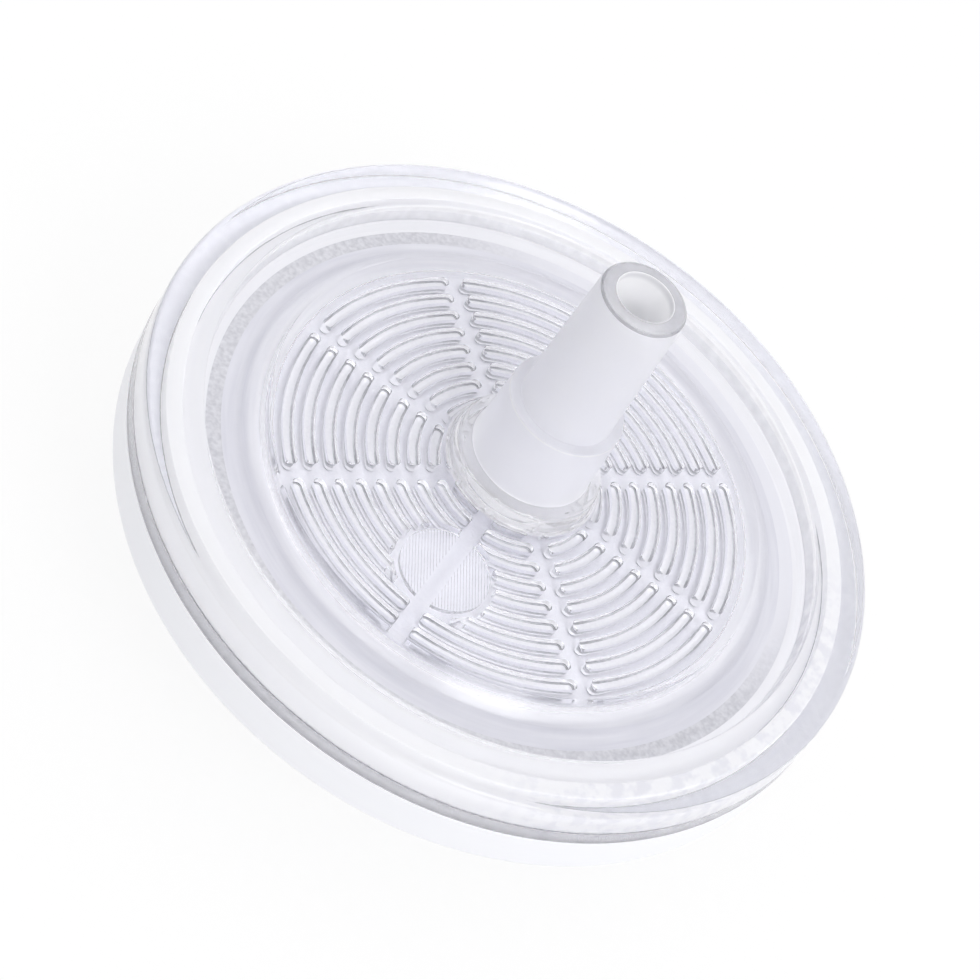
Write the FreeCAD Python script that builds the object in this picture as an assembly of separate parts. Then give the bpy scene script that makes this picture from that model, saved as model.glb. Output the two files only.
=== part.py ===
import FreeCAD, Part

import math
import os

# Disc syringe filter: an outlet housing with a tapered outlet stem, an inlet housing with a tapered
# inlet socket, and a membrane clamped between them. Both housings are single mouldings, welded
# together round the rim. Millimetres, +Z along the common axis, outlet up, Z = 0 on the inlet's
# end face. Channel 0 runs along +X, and the witness pad lies on the channel that points to -Y.

# ---- membrane, the size that everything is built round ----
MEMBRANE_DIAMETER = 27.5
MEMBRANE_THICKNESS = 0.18
CLAMP_WIDTH = 2.2  # ring of the membrane's edge that the housings hold
SEAT_RUNOUT = 0.5  # the membrane seat runs this far past the membrane's edge

# ---- weld joint: the inlet housing's tongue in the outlet housing's groove ----
FLASH_TRAP_WIDTH = 1.4  # from the membrane seat to the groove
GROOVE_WIDTH = 0.75
GROOVE_DEPTH = 1.3  # up from the seam
TONGUE_CLEARANCE = 0.1
SKIRT_THICKNESS = 1.2  # outer wall of the outlet housing, which closes the groove

# ---- rim ----
RIM_DRAFT = 0.1  # how much narrower the rim is at its top than at the seam, on the radius
OUTLET_RIM_HEIGHT = 2.2  # seam to rim top
INLET_RIM_HEIGHT = 2.25  # rim bottom to seam
RIM_LAND = 2.65  # width of the flat land on top of the rim
RIM_EDGE_ROUND = 0.3
INLET_LAND = 2.8  # width of the flat land under the rim

# ---- outlet housing: moat, raised plate and chamber ----
MOAT_DEPTH = 0.97  # rim top to moat floor
MOAT_WIDTH = 1.9
MOAT_WALL_DRAFT = 0.1
PLATE_SLOPE_WIDTH = 0.95  # plan width of the slope from the moat floor to the plate
PLATE_DROP = 0.14  # the raised plate lies this far under the rim top
PLATE_THICKNESS = 1.05
CLAMP_DEPTH = 1.8  # rim top to the face that clamps the membrane

# ---- membrane support: concentric ridges cut by radial channels ----
RIDGE_WALL_GAP = 0.45  # chamber wall to the outermost ridges
RIDGE_BORE_GAP = 1.3  # least gap from the innermost ridges to the outlet bore
RIDGE_PITCH = 0.98
RIDGE_WIDTH = 0.52
CHANNELS = 8
CHANNEL_WIDTH = 0.75
PAD_RADIUS = 2.1  # round witness pad left by the mould, where the ridges stop
PAD_DISTANCE = 7.1  # from the axis, on a channel
PAD_MARGIN = 0.3  # bare ring round the pad
PAD_HEIGHT = 0.2
PAD_CHANNEL = 6  # number of the channel that crosses it

# ---- outlet stem: hub, collar and luer slip cone ----
HUB_RADIUS = 3.5
HUB_HEIGHT = 1.0
HUB_ROUND = 0.25
HUB_FOOT_ROUND = 0.4
COLLAR_RADIUS = 2.85  # at the hub
COLLAR_TOP_RADIUS = 2.7
COLLAR_HEIGHT = 3.75
SHOULDER_ROUND = 0.15
CONE_ROOT_ROUND = 0.2
LUER_LENGTH = 7.5
LUER_TAPER = 0.06  # on the diameter
LUER_TIP_DIAMETER = 3.97
LUER_TIP_ROUND = 0.28
OUTLET_BORE_RADIUS = 1.28

# ---- inlet housing: dished floor, chamber ribs, hub, socket and lugs ----
INLET_CHAMBER_DEPTH = 0.55
INLET_FLOOR_THICKNESS = 1.1
DISH_SLOPE_WIDTH = 0.8
RIBS = 8
RIB_WIDTH = 0.5
RIB_HEIGHT = 0.35
RIB_BORE_GAP = 1.75  # inlet bore to the ribs' inner ends
RIB_WALL_GAP = 0.8  # ribs' outer ends to the chamber wall
INLET_HUB_RADIUS = 3.3
INLET_HUB_ROOT_ROUND = 0.6
SOCKET_MOUTH_DIAMETER = 4.3
SOCKET_DEPTH = 7.5
SOCKET_ROOF_THICKNESS = 1.42  # socket floor to chamber floor, where the inlet bore runs
SOCKET_CHAMFER = 0.15
INLET_BORE_RADIUS = 1.25
LUGS = 2
LUG_RADIUS = 3.9
LUG_HEIGHT = 1.1
LUG_ANGLE = 70.0
LUG_CHAMFER = 0.2

# ---- levels that follow ----
INLET_CHAMBER_FLOOR_Z = SOCKET_DEPTH + SOCKET_ROOF_THICKNESS
INLET_UNDERSIDE_Z = INLET_CHAMBER_FLOOR_Z - INLET_FLOOR_THICKNESS
MEMBRANE_SEAT_Z = INLET_CHAMBER_FLOOR_Z + INLET_CHAMBER_DEPTH
MEMBRANE_TOP_Z = MEMBRANE_SEAT_Z + MEMBRANE_THICKNESS
RIM_TOP_Z = MEMBRANE_TOP_Z + CLAMP_DEPTH
SEAM_Z = RIM_TOP_Z - OUTLET_RIM_HEIGHT
RIM_BOTTOM_Z = SEAM_Z - INLET_RIM_HEIGHT
MOAT_FLOOR_Z = RIM_TOP_Z - MOAT_DEPTH
PLATE_TOP_Z = RIM_TOP_Z - PLATE_DROP
CHAMBER_ROOF_Z = PLATE_TOP_Z - PLATE_THICKNESS
GROOVE_TOP_Z = SEAM_Z + GROOVE_DEPTH
TONGUE_TOP_Z = GROOVE_TOP_Z - TONGUE_CLEARANCE
HUB_TOP_Z = PLATE_TOP_Z + HUB_HEIGHT
SHOULDER_Z = HUB_TOP_Z + COLLAR_HEIGHT
TIP_Z = SHOULDER_Z + LUER_LENGTH

# ---- radii that follow ----
MEMBRANE_RADIUS = MEMBRANE_DIAMETER / 2
CHAMBER_RADIUS = MEMBRANE_RADIUS - CLAMP_WIDTH
SEAT_RADIUS = MEMBRANE_RADIUS + SEAT_RUNOUT
GROOVE_INNER_RADIUS = SEAT_RADIUS + FLASH_TRAP_WIDTH
GROOVE_OUTER_RADIUS = GROOVE_INNER_RADIUS + GROOVE_WIDTH
TONGUE_OUTER_RADIUS = GROOVE_OUTER_RADIUS - TONGUE_CLEARANCE
TONGUE_INNER_RADIUS = GROOVE_INNER_RADIUS + TONGUE_CLEARANCE
SEAM_RADIUS = GROOVE_OUTER_RADIUS + SKIRT_THICKNESS
RIM_TOP_RADIUS = SEAM_RADIUS - RIM_DRAFT
MOAT_OUTER_RADIUS = RIM_TOP_RADIUS - RIM_LAND
MOAT_FLOOR_OUTER_RADIUS = MOAT_OUTER_RADIUS - MOAT_WALL_DRAFT
MOAT_INNER_RADIUS = MOAT_FLOOR_OUTER_RADIUS - MOAT_WIDTH
PLATE_RADIUS = MOAT_INNER_RADIUS - PLATE_SLOPE_WIDTH
OUTER_RING_RADIUS = CHAMBER_RADIUS - RIDGE_WALL_GAP - RIDGE_WIDTH / 2
LEAST_RING_RADIUS = OUTLET_BORE_RADIUS + RIDGE_BORE_GAP + RIDGE_WIDTH / 2
RIDGE_RINGS = 1 + int((OUTER_RING_RADIUS - LEAST_RING_RADIUS) / RIDGE_PITCH)
LUER_TIP_RADIUS = LUER_TIP_DIAMETER / 2
LUER_ROOT_RADIUS = LUER_TIP_RADIUS + LUER_LENGTH * LUER_TAPER / 2
INLET_LAND_RADIUS = SEAM_RADIUS - INLET_LAND
SOCKET_MOUTH_RADIUS = SOCKET_MOUTH_DIAMETER / 2
SOCKET_FLOOR_RADIUS = SOCKET_MOUTH_RADIUS - SOCKET_DEPTH * LUER_TAPER / 2

AXIS_POINT = FreeCAD.Vector(0, 0, 0)
UP = FreeCAD.Vector(0, 0, 1)
FULL_TURN = 360.0
CHANNEL_ANGLE = FULL_TURN / CHANNELS


def corner_arc(before, corner, after, radius):
    """Tangent arc of the given radius at a corner of an outline: its start, middle and end."""
    towards_before = (before - corner).normalize()
    towards_after = (after - corner).normalize()
    half_angle = towards_before.getAngle(towards_after) / 2
    setback = radius / math.tan(half_angle)
    start = corner + towards_before * setback
    end = corner + towards_after * setback
    middle_direction = (towards_before + towards_after).normalize()
    centre = corner + middle_direction * (radius / math.sin(half_angle))
    middle = centre - middle_direction * radius
    return start, middle, end


def outline_face(corners):
    """Closed face in the XZ plane from (radius, height, rounding) corners."""
    points = [FreeCAD.Vector(r, 0, z) for r, z, rounding in corners]
    edges = []
    stretches = []
    for i, corner in enumerate(points):
        rounding = corners[i][2]
        if rounding > 0:
            before = points[i - 1]
            after = points[(i + 1) % len(points)]
            stretches.append(corner_arc(before, corner, after, rounding))
        else:
            stretches.append((corner, None, corner))
    for i, (start, middle, end) in enumerate(stretches):
        if middle is not None:
            edges.append(Part.Arc(start, middle, end).toShape())
        next_start = stretches[(i + 1) % len(stretches)][0]
        edges.append(Part.LineSegment(end, next_start).toShape())
    return Part.Face(Part.Wire(edges))


def turned(corners, angle=FULL_TURN):
    """Solid made by turning an outline about the axis."""
    return outline_face(corners).revolve(AXIS_POINT, UP, angle)


def at_angle(shape, angle):
    """Copy of a shape, turned about the axis."""
    copy = shape.copy()
    copy.rotate(AXIS_POINT, UP, angle)
    return copy


def outlet_shell():
    """Outlet housing without its ridges: rim, moat, raised plate and stem."""
    return turned([
        (OUTLET_BORE_RADIUS, CHAMBER_ROOF_Z, 0),
        (CHAMBER_RADIUS, CHAMBER_ROOF_Z, 0),
        (CHAMBER_RADIUS, MEMBRANE_TOP_Z, 0),
        (GROOVE_INNER_RADIUS, MEMBRANE_TOP_Z, 0),
        (GROOVE_INNER_RADIUS, GROOVE_TOP_Z, 0),
        (GROOVE_OUTER_RADIUS, GROOVE_TOP_Z, 0),
        (GROOVE_OUTER_RADIUS, SEAM_Z, 0),
        (SEAM_RADIUS, SEAM_Z, 0),
        (RIM_TOP_RADIUS, RIM_TOP_Z, RIM_EDGE_ROUND),
        (MOAT_OUTER_RADIUS, RIM_TOP_Z, 0),
        (MOAT_FLOOR_OUTER_RADIUS, MOAT_FLOOR_Z, 0),
        (MOAT_INNER_RADIUS, MOAT_FLOOR_Z, 0),
        (PLATE_RADIUS, PLATE_TOP_Z, 0),
        (HUB_RADIUS, PLATE_TOP_Z, HUB_FOOT_ROUND),
        (HUB_RADIUS, HUB_TOP_Z, HUB_ROUND),
        (COLLAR_RADIUS, HUB_TOP_Z, 0),
        (COLLAR_TOP_RADIUS, SHOULDER_Z, SHOULDER_ROUND),
        (LUER_ROOT_RADIUS, SHOULDER_Z, CONE_ROOT_ROUND),
        (LUER_TIP_RADIUS, TIP_Z, LUER_TIP_ROUND),
        (OUTLET_BORE_RADIUS, TIP_Z, 0),
    ])


def ridge(radius):
    """One ridge of a ring: an arc-shaped bar with round ends, its crest on the membrane."""
    half_width = RIDGE_WIDTH / 2
    end_offset = math.degrees(math.asin((CHANNEL_WIDTH / 2 + half_width) / radius))
    start_angle = end_offset
    end_angle = CHANNEL_ANGLE - end_offset
    middle_angle = CHANNEL_ANGLE / 2

    def at(distance, angle):
        turn = math.radians(angle)
        return FreeCAD.Vector(distance * math.cos(turn), distance * math.sin(turn), MEMBRANE_TOP_Z)

    def round_end(angle, side):
        tangent = math.radians(angle + side * 90)
        reach = FreeCAD.Vector(math.cos(tangent), math.sin(tangent), 0) * half_width
        return at(radius, angle) + reach

    outer = radius + half_width
    inner = radius - half_width
    outline = Part.Wire([
        Part.Arc(at(outer, start_angle), at(outer, middle_angle), at(outer, end_angle)).toShape(),
        Part.Arc(at(outer, end_angle), round_end(end_angle, 1), at(inner, end_angle)).toShape(),
        Part.Arc(at(inner, end_angle), at(inner, middle_angle), at(inner, start_angle)).toShape(),
        Part.Arc(at(inner, start_angle), round_end(start_angle, -1), at(outer, start_angle)).toShape(),
    ])
    return Part.Face(outline).extrude(UP * (CHAMBER_ROOF_Z - MEMBRANE_TOP_Z))


def pad_centre():
    """Centre of the witness pad, on its channel."""
    turn = math.radians(PAD_CHANNEL * CHANNEL_ANGLE)
    return FreeCAD.Vector(PAD_DISTANCE * math.cos(turn), PAD_DISTANCE * math.sin(turn), CHAMBER_ROOF_Z)


def witness_pad():
    """Low round pad under the plate, crossed by its channel."""
    pad = Part.makeCylinder(PAD_RADIUS, PAD_HEIGHT, pad_centre(), -UP)
    slot = Part.makeBox(2 * PAD_DISTANCE, CHANNEL_WIDTH, PAD_HEIGHT)
    slot.translate(FreeCAD.Vector(0, -CHANNEL_WIDTH / 2, CHAMBER_ROOF_Z - PAD_HEIGHT))
    return pad.cut(at_angle(slot, PAD_CHANNEL * CHANNEL_ANGLE))


def membrane_support():
    """All ridges, ring by ring and sector by sector, stopped round the witness pad."""
    height = CHAMBER_ROOF_Z - MEMBRANE_TOP_Z
    clearing = Part.makeCylinder(PAD_RADIUS + PAD_MARGIN, height, pad_centre(), -UP)
    pad_sectors = (PAD_CHANNEL - 1, PAD_CHANNEL)
    ridges = []
    for ring in range(RIDGE_RINGS):
        first = ridge(OUTER_RING_RADIUS - ring * RIDGE_PITCH)
        for sector in range(CHANNELS):
            bar = at_angle(first, sector * CHANNEL_ANGLE)
            if sector in pad_sectors:
                bar = bar.cut(clearing)
            ridges.extend(bar.Solids)
    return ridges


def outlet_housing():
    """Upper moulding, one solid."""
    return outlet_shell().fuse(membrane_support() + [witness_pad()])


def inlet_shell():
    """Inlet housing without its ribs and lugs: rim, tongue, membrane seat, chamber and socket."""
    return turned([
        (SOCKET_MOUTH_RADIUS + SOCKET_CHAMFER, 0, 0),
        (INLET_HUB_RADIUS, 0, 0),
        (INLET_HUB_RADIUS, INLET_UNDERSIDE_Z, INLET_HUB_ROOT_ROUND),
        (INLET_LAND_RADIUS - DISH_SLOPE_WIDTH, INLET_UNDERSIDE_Z, 0),
        (INLET_LAND_RADIUS, RIM_BOTTOM_Z, 0),
        (SEAM_RADIUS, RIM_BOTTOM_Z, RIM_EDGE_ROUND),
        (SEAM_RADIUS, SEAM_Z, 0),
        (TONGUE_OUTER_RADIUS, SEAM_Z, 0),
        (TONGUE_OUTER_RADIUS, TONGUE_TOP_Z, 0),
        (TONGUE_INNER_RADIUS, TONGUE_TOP_Z, 0),
        (TONGUE_INNER_RADIUS, SEAM_Z, 0),
        (SEAT_RADIUS, SEAM_Z, 0),
        (SEAT_RADIUS, MEMBRANE_SEAT_Z, 0),
        (CHAMBER_RADIUS, MEMBRANE_SEAT_Z, 0),
        (CHAMBER_RADIUS, INLET_CHAMBER_FLOOR_Z, 0),
        (INLET_BORE_RADIUS, INLET_CHAMBER_FLOOR_Z, 0),
        (INLET_BORE_RADIUS, SOCKET_DEPTH, 0),
        (SOCKET_FLOOR_RADIUS, SOCKET_DEPTH, 0),
        (SOCKET_MOUTH_RADIUS, SOCKET_CHAMFER, 0),
    ])


def chamber_ribs():
    """Radial ribs that spread the flow over the inlet side of the membrane."""
    start = INLET_BORE_RADIUS + RIB_BORE_GAP
    end = CHAMBER_RADIUS - RIB_WALL_GAP
    rib = Part.makeBox(end - start, RIB_WIDTH, RIB_HEIGHT)
    rib.translate(FreeCAD.Vector(start, -RIB_WIDTH / 2, INLET_CHAMBER_FLOOR_Z))
    return [at_angle(rib, i * FULL_TURN / RIBS) for i in range(RIBS)]


def lock_lugs():
    """Ears round the inlet's end that a locking collar turns onto."""
    hub_overlap = INLET_HUB_RADIUS - SOCKET_CHAMFER
    ear = turned([
        (hub_overlap, 0, 0),
        (LUG_RADIUS, 0, 0),
        (LUG_RADIUS, LUG_HEIGHT - LUG_CHAMFER, 0),
        (LUG_RADIUS - LUG_CHAMFER, LUG_HEIGHT, 0),
        (hub_overlap, LUG_HEIGHT, 0),
    ], LUG_ANGLE)
    return [at_angle(ear, i * FULL_TURN / LUGS - LUG_ANGLE / 2) for i in range(LUGS)]


def inlet_housing():
    """Lower moulding, one solid."""
    return inlet_shell().fuse(chamber_ribs() + lock_lugs())


def membrane():
    """Filter disc, clamped at its edge."""
    return Part.makeCylinder(MEMBRANE_RADIUS, MEMBRANE_THICKNESS, UP * MEMBRANE_SEAT_Z, UP)


PIECES = {
    "outlet_housing": outlet_housing,
    "membrane": membrane,
    "inlet_housing": inlet_housing,
}

os.makedirs("parts", exist_ok=True)
for name, make in PIECES.items():
    piece = make().removeSplitter()
    piece.exportStep("parts/" + name + ".step")
    print(name, "solids", len(piece.Solids), "valid", piece.isValid(), "volume", round(piece.Volume, 2))
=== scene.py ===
import math

import bpy
from mathutils import Matrix, Vector


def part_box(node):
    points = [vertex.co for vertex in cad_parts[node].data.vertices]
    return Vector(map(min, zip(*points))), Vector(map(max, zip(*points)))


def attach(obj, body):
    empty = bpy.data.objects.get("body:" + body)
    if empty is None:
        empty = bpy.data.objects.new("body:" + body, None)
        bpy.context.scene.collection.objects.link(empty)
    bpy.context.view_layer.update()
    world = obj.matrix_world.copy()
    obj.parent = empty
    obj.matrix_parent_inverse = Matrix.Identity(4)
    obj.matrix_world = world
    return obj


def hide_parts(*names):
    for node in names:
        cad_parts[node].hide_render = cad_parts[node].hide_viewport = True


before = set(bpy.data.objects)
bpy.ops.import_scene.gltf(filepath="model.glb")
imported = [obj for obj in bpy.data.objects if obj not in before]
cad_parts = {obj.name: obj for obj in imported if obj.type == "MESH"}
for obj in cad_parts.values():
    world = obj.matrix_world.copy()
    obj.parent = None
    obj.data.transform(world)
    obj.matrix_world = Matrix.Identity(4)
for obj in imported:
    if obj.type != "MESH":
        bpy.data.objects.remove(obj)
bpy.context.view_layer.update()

MM = 0.001
TURN = 2 * math.pi

# ---- places taken from the frame ----
inlet_low, inlet_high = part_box("inlet_housing")
outlet_low, outlet_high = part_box("outlet_housing")
membrane_low, membrane_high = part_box("membrane")
FOOT_Z = inlet_low.z
SEAM_Z = outlet_low.z
TIP_Z = outlet_high.z
SEAM_RADIUS = outlet_high.x
TONGUE_TOP_Z = inlet_high.z
MEMBRANE_SEAT_Z = membrane_low.z
MEMBRANE_TOP_Z = membrane_high.z
MEMBRANE_RADIUS = membrane_high.x

# ---- rim and weld joint ----
RIM_DRAFT = 0.1 * MM
OUTLET_RIM_HEIGHT = 2.2 * MM
INLET_RIM_HEIGHT = 2.25 * MM
RIM_LAND = 2.65 * MM
INLET_LAND = 2.8 * MM
SKIRT_THICKNESS = 1.2 * MM
GROOVE_WIDTH = 0.75 * MM
TONGUE_CLEARANCE = 0.1 * MM
SEAT_RUNOUT = 0.5 * MM
MEMBRANE_MARGIN = 0.1 * MM  # the finish of the clamped edge runs this far each side of it

# ---- moat, raised plate and chamber ----
MOAT_DEPTH = 0.97 * MM
MOAT_WIDTH = 1.9 * MM
MOAT_WALL_DRAFT = 0.1 * MM
PLATE_SLOPE_WIDTH = 0.95 * MM
PLATE_DROP = 0.14 * MM
PLATE_THICKNESS = 1.05 * MM
CLAMP_WIDTH = 2.2 * MM

# ---- membrane support ----
RIDGE_RINGS = 9
RIDGE_WALL_GAP = 0.45 * MM
RIDGE_PITCH = 0.98 * MM
RIDGE_WIDTH = 0.52 * MM
RIDGE_ROOT = 0.1 * MM  # how far ridges, pad and ribs are sunk into what carries them
TOUCH_GAP = 0.015 * MM  # keeps two pieces that touch from sharing a face
RIDGE_END_ROUND = 0.96  # of half the ridge's width
CREST_ROUND = 0.09 * MM
CHANNELS = 8
CHANNEL_WIDTH = 0.75 * MM
PAD_RADIUS = 2.1 * MM
PAD_DISTANCE = 7.1 * MM
PAD_MARGIN = 0.3 * MM
PAD_HEIGHT = 0.2 * MM
PAD_CHANNEL = 6

# ---- outlet stem ----
HUB_RADIUS = 3.5 * MM
HUB_HEIGHT = 1.0 * MM
COLLAR_RADIUS = 2.85 * MM
COLLAR_TOP_RADIUS = 2.7 * MM
COLLAR_HEIGHT = 3.75 * MM
LUER_TAPER = 0.06
LUER_TIP_RADIUS = 1.985 * MM
OUTLET_BORE_RADIUS = 1.28 * MM

# ---- inlet port ----
INLET_CHAMBER_DEPTH = 0.55 * MM
INLET_FLOOR_THICKNESS = 1.1 * MM
RIBS = 8
RIB_WIDTH = 0.5 * MM
RIB_HEIGHT = 0.35 * MM
RIB_BORE_GAP = 1.75 * MM
RIB_WALL_GAP = 0.8 * MM
DISH_SLOPE_WIDTH = 0.8 * MM
INLET_HUB_RADIUS = 3.3 * MM
SOCKET_MOUTH_RADIUS = 2.15 * MM
SOCKET_DEPTH = 7.5 * MM
INLET_BORE_RADIUS = 1.25 * MM
LUGS = 2
LUG_RADIUS = 3.9 * MM
LUG_HEIGHT = 1.1 * MM
LUG_ANGLE = math.radians(70)
LUG_SUNK = 0.2 * MM

# ---- roundings ----
SMALL_ROUND = 0.06 * MM
EDGE_ROUND = 0.3 * MM
HUB_FOOT_ROUND = 0.4 * MM
HUB_ROUND = 0.25 * MM
LUER_TIP_ROUND = 0.28 * MM
SOCKET_ROUND = 0.15 * MM
INLET_HUB_ROOT_ROUND = 0.6 * MM
LUG_ROUND = 0.2 * MM

# ---- levels and radii that follow ----
RIM_TOP_Z = SEAM_Z + OUTLET_RIM_HEIGHT
RIM_BOTTOM_Z = SEAM_Z - INLET_RIM_HEIGHT
MOAT_FLOOR_Z = RIM_TOP_Z - MOAT_DEPTH
PLATE_TOP_Z = RIM_TOP_Z - PLATE_DROP
CHAMBER_ROOF_Z = PLATE_TOP_Z - PLATE_THICKNESS
GROOVE_TOP_Z = TONGUE_TOP_Z + TONGUE_CLEARANCE
CLAMP_Z = MEMBRANE_TOP_Z + TOUCH_GAP
HUB_TOP_Z = PLATE_TOP_Z + HUB_HEIGHT
SHOULDER_Z = HUB_TOP_Z + COLLAR_HEIGHT
CHAMBER_FLOOR_Z = MEMBRANE_SEAT_Z - INLET_CHAMBER_DEPTH
UNDERSIDE_Z = CHAMBER_FLOOR_Z - INLET_FLOOR_THICKNESS
RIM_TOP_RADIUS = SEAM_RADIUS - RIM_DRAFT
MOAT_OUTER_RADIUS = RIM_TOP_RADIUS - RIM_LAND
MOAT_FLOOR_OUTER_RADIUS = MOAT_OUTER_RADIUS - MOAT_WALL_DRAFT
MOAT_INNER_RADIUS = MOAT_FLOOR_OUTER_RADIUS - MOAT_WIDTH
PLATE_RADIUS = MOAT_INNER_RADIUS - PLATE_SLOPE_WIDTH
CHAMBER_RADIUS = MEMBRANE_RADIUS - CLAMP_WIDTH
SEAT_RADIUS = MEMBRANE_RADIUS + SEAT_RUNOUT
GROOVE_OUTER_RADIUS = SEAM_RADIUS - SKIRT_THICKNESS
GROOVE_INNER_RADIUS = GROOVE_OUTER_RADIUS - GROOVE_WIDTH
TONGUE_OUTER_RADIUS = GROOVE_OUTER_RADIUS - TONGUE_CLEARANCE
TONGUE_INNER_RADIUS = GROOVE_INNER_RADIUS + TONGUE_CLEARANCE
LUER_ROOT_RADIUS = LUER_TIP_RADIUS + (TIP_Z - SHOULDER_Z) * LUER_TAPER / 2
OUTER_RING_RADIUS = CHAMBER_RADIUS - RIDGE_WALL_GAP - RIDGE_WIDTH / 2
INLET_LAND_RADIUS = SEAM_RADIUS - INLET_LAND
SOCKET_FLOOR_RADIUS = SOCKET_MOUTH_RADIUS - SOCKET_DEPTH * LUER_TAPER / 2

# ---- fineness of the meshes ----
TURNED_STEPS = 240
RIDGE_STEP = 0.4 * MM
LUG_STEPS = 24
PAD_CORNERS = 64
SHARP_ANGLE = math.radians(60)
SMOOTH_ANGLE = math.radians(35)
CUTTER_DEPTH = 4 * MM

# ---- how points, edges and faces are told apart ----
SAME_PLACE = 0.001 * MM
SAME_ANGLE = 1e-4
SAME_LEVEL = 0.01 * MM
CLOSE_BY = 0.1 * MM
TIP_FACE_DEPTH = 0.13 * MM
WALL_BAND = 0.15 * MM
UPRIGHT = 0.5  # a wall's normal rises less than this

# ---- finishes ----
POLYPROPYLENE_IOR = 1.49
MEMBRANE_IOR = 1.45
CLEAR_COLOUR = (0.974, 0.974, 0.994)
WELD_SIDE = math.radians(-20)  # where the weld is coarse and crystalline
PALE_SIDE = math.radians(60)  # where the ring at the membrane's edge turns white
HATCH_TURN = math.radians(28)
HATCH_PITCH = 0.14 * MM

# ---- studio ----
FLOOR_SIZE = 3.0
FLOOR_GLOW = 0.85
CEILING_LIGHT = 1.07
WALL_LIGHT = 0.47
WINDOW_LIGHT = 1.3
WINDOW_SIDE = math.radians(30)
WALL_LOW = 0.1
WALL_HIGH = 0.7

# ---- camera ----
SENSOR_WIDTH = 36
LENS = 92.23
CAMERA_DISTANCE = 110.01 * MM
CAMERA_ELEVATION = math.radians(46.50)
CAMERA_SWING = math.radians(-0.874)
CAMERA_ROLL = math.radians(35.785)
CAMERA_TARGET = Vector((-0.522 * MM, -2.343 * MM, PLATE_TOP_Z))


# ---- modelling helpers ----

def free_hands():
    """Leave edit mode and select nothing."""
    if bpy.context.object is not None and bpy.context.object.mode != "OBJECT":
        bpy.ops.object.mode_set(mode="OBJECT")
    bpy.ops.object.select_all(action="DESELECT")


def take(piece):
    """Select one piece and nothing else."""
    free_hands()
    piece.select_set(True)
    bpy.context.view_layer.objects.active = piece


def mark(piece, part, test):
    """Select the vertices, edges or faces whose middle passes the test."""
    bpy.ops.mesh.select_mode(type=part)
    bpy.ops.mesh.select_all(action="DESELECT")
    bpy.ops.object.mode_set(mode="OBJECT")
    mesh = piece.data
    if part == "VERT":
        for vertex in mesh.vertices:
            vertex.select = test(vertex.co)
    elif part == "EDGE":
        for edge in mesh.edges:
            ends = [mesh.vertices[i].co for i in edge.vertices]
            edge.select = test(*ends)
    else:
        for face in mesh.polygons:
            face.select = test(face.center, face.normal)
    bpy.ops.object.mode_set(mode="EDIT")


def drawn_outline(name, corners):
    """Closed outline in the XZ plane, drawn from corner to corner, then rounded."""
    free_hands()
    radius, height, _ = corners[0]
    bpy.ops.mesh.primitive_plane_add(size=MM, location=(radius, 0, height))
    piece = bpy.context.object
    piece.name = name
    bpy.ops.object.transform_apply(location=True)
    bpy.ops.object.mode_set(mode="EDIT")
    bpy.ops.mesh.select_mode(type="VERT")
    bpy.ops.mesh.merge(type="CENTER")
    for start, end in zip(corners, corners[1:] + corners[:1]):
        step = (end[0] - start[0], 0, end[1] - start[1])
        bpy.ops.mesh.extrude_vertices_move(TRANSFORM_OT_translate={"value": step})
    bpy.ops.mesh.select_all(action="SELECT")
    bpy.ops.mesh.remove_doubles(threshold=SAME_PLACE)
    bpy.ops.mesh.edge_face_add()
    for radius, height, rounding in corners:
        if rounding:
            corner = Vector((radius, 0, height))
            mark(piece, "VERT", lambda at: (at - corner).length < SAME_PLACE)
            bpy.ops.mesh.bevel(offset=rounding, segments=4, affect="VERTICES")
    return piece


def spun(steps, angle):
    """Spin all of the piece being edited about the axis."""
    bpy.ops.mesh.select_all(action="SELECT")
    bpy.ops.mesh.spin(steps=steps, angle=angle, center=(0, 0, 0), axis=(0, 0, 1))
    bpy.ops.mesh.select_all(action="SELECT")


def turned(name, corners):
    """Solid turned about the axis from a drawn outline."""
    piece = drawn_outline(name, corners)
    bpy.ops.mesh.select_all(action="SELECT")
    bpy.ops.mesh.delete(type="ONLY_FACE")
    spun(TURNED_STEPS, TURN)
    bpy.ops.mesh.remove_doubles(threshold=SAME_PLACE / 2)
    bpy.ops.mesh.normals_make_consistent(inside=False)
    bpy.ops.object.mode_set(mode="OBJECT")
    return piece


def copy_turned(piece, angle):
    """Copy with its own mesh, turned about the axis."""
    twin = piece.copy()
    twin.data = piece.data.copy()
    bpy.context.scene.collection.objects.link(twin)
    twin.data.transform(Matrix.Rotation(angle, 4, "Z"))
    return twin


def join(pieces):
    """Make one piece of several."""
    free_hands()
    for piece in pieces:
        piece.select_set(True)
    bpy.context.view_layer.objects.active = pieces[0]
    bpy.ops.object.join()
    return bpy.context.object


def carve(piece, tool, operation):
    """Unite a piece with a tool, or cut the tool out of it, and remove the tool."""
    take(piece)
    modifier = piece.modifiers.new("carve", "BOOLEAN")
    modifier.operation = operation
    modifier.solver = "MANIFOLD"
    modifier.object = tool
    bpy.ops.object.modifier_apply(modifier=modifier.name)
    bpy.data.objects.remove(tool)
    return piece


# ---- outlet housing ----

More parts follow.
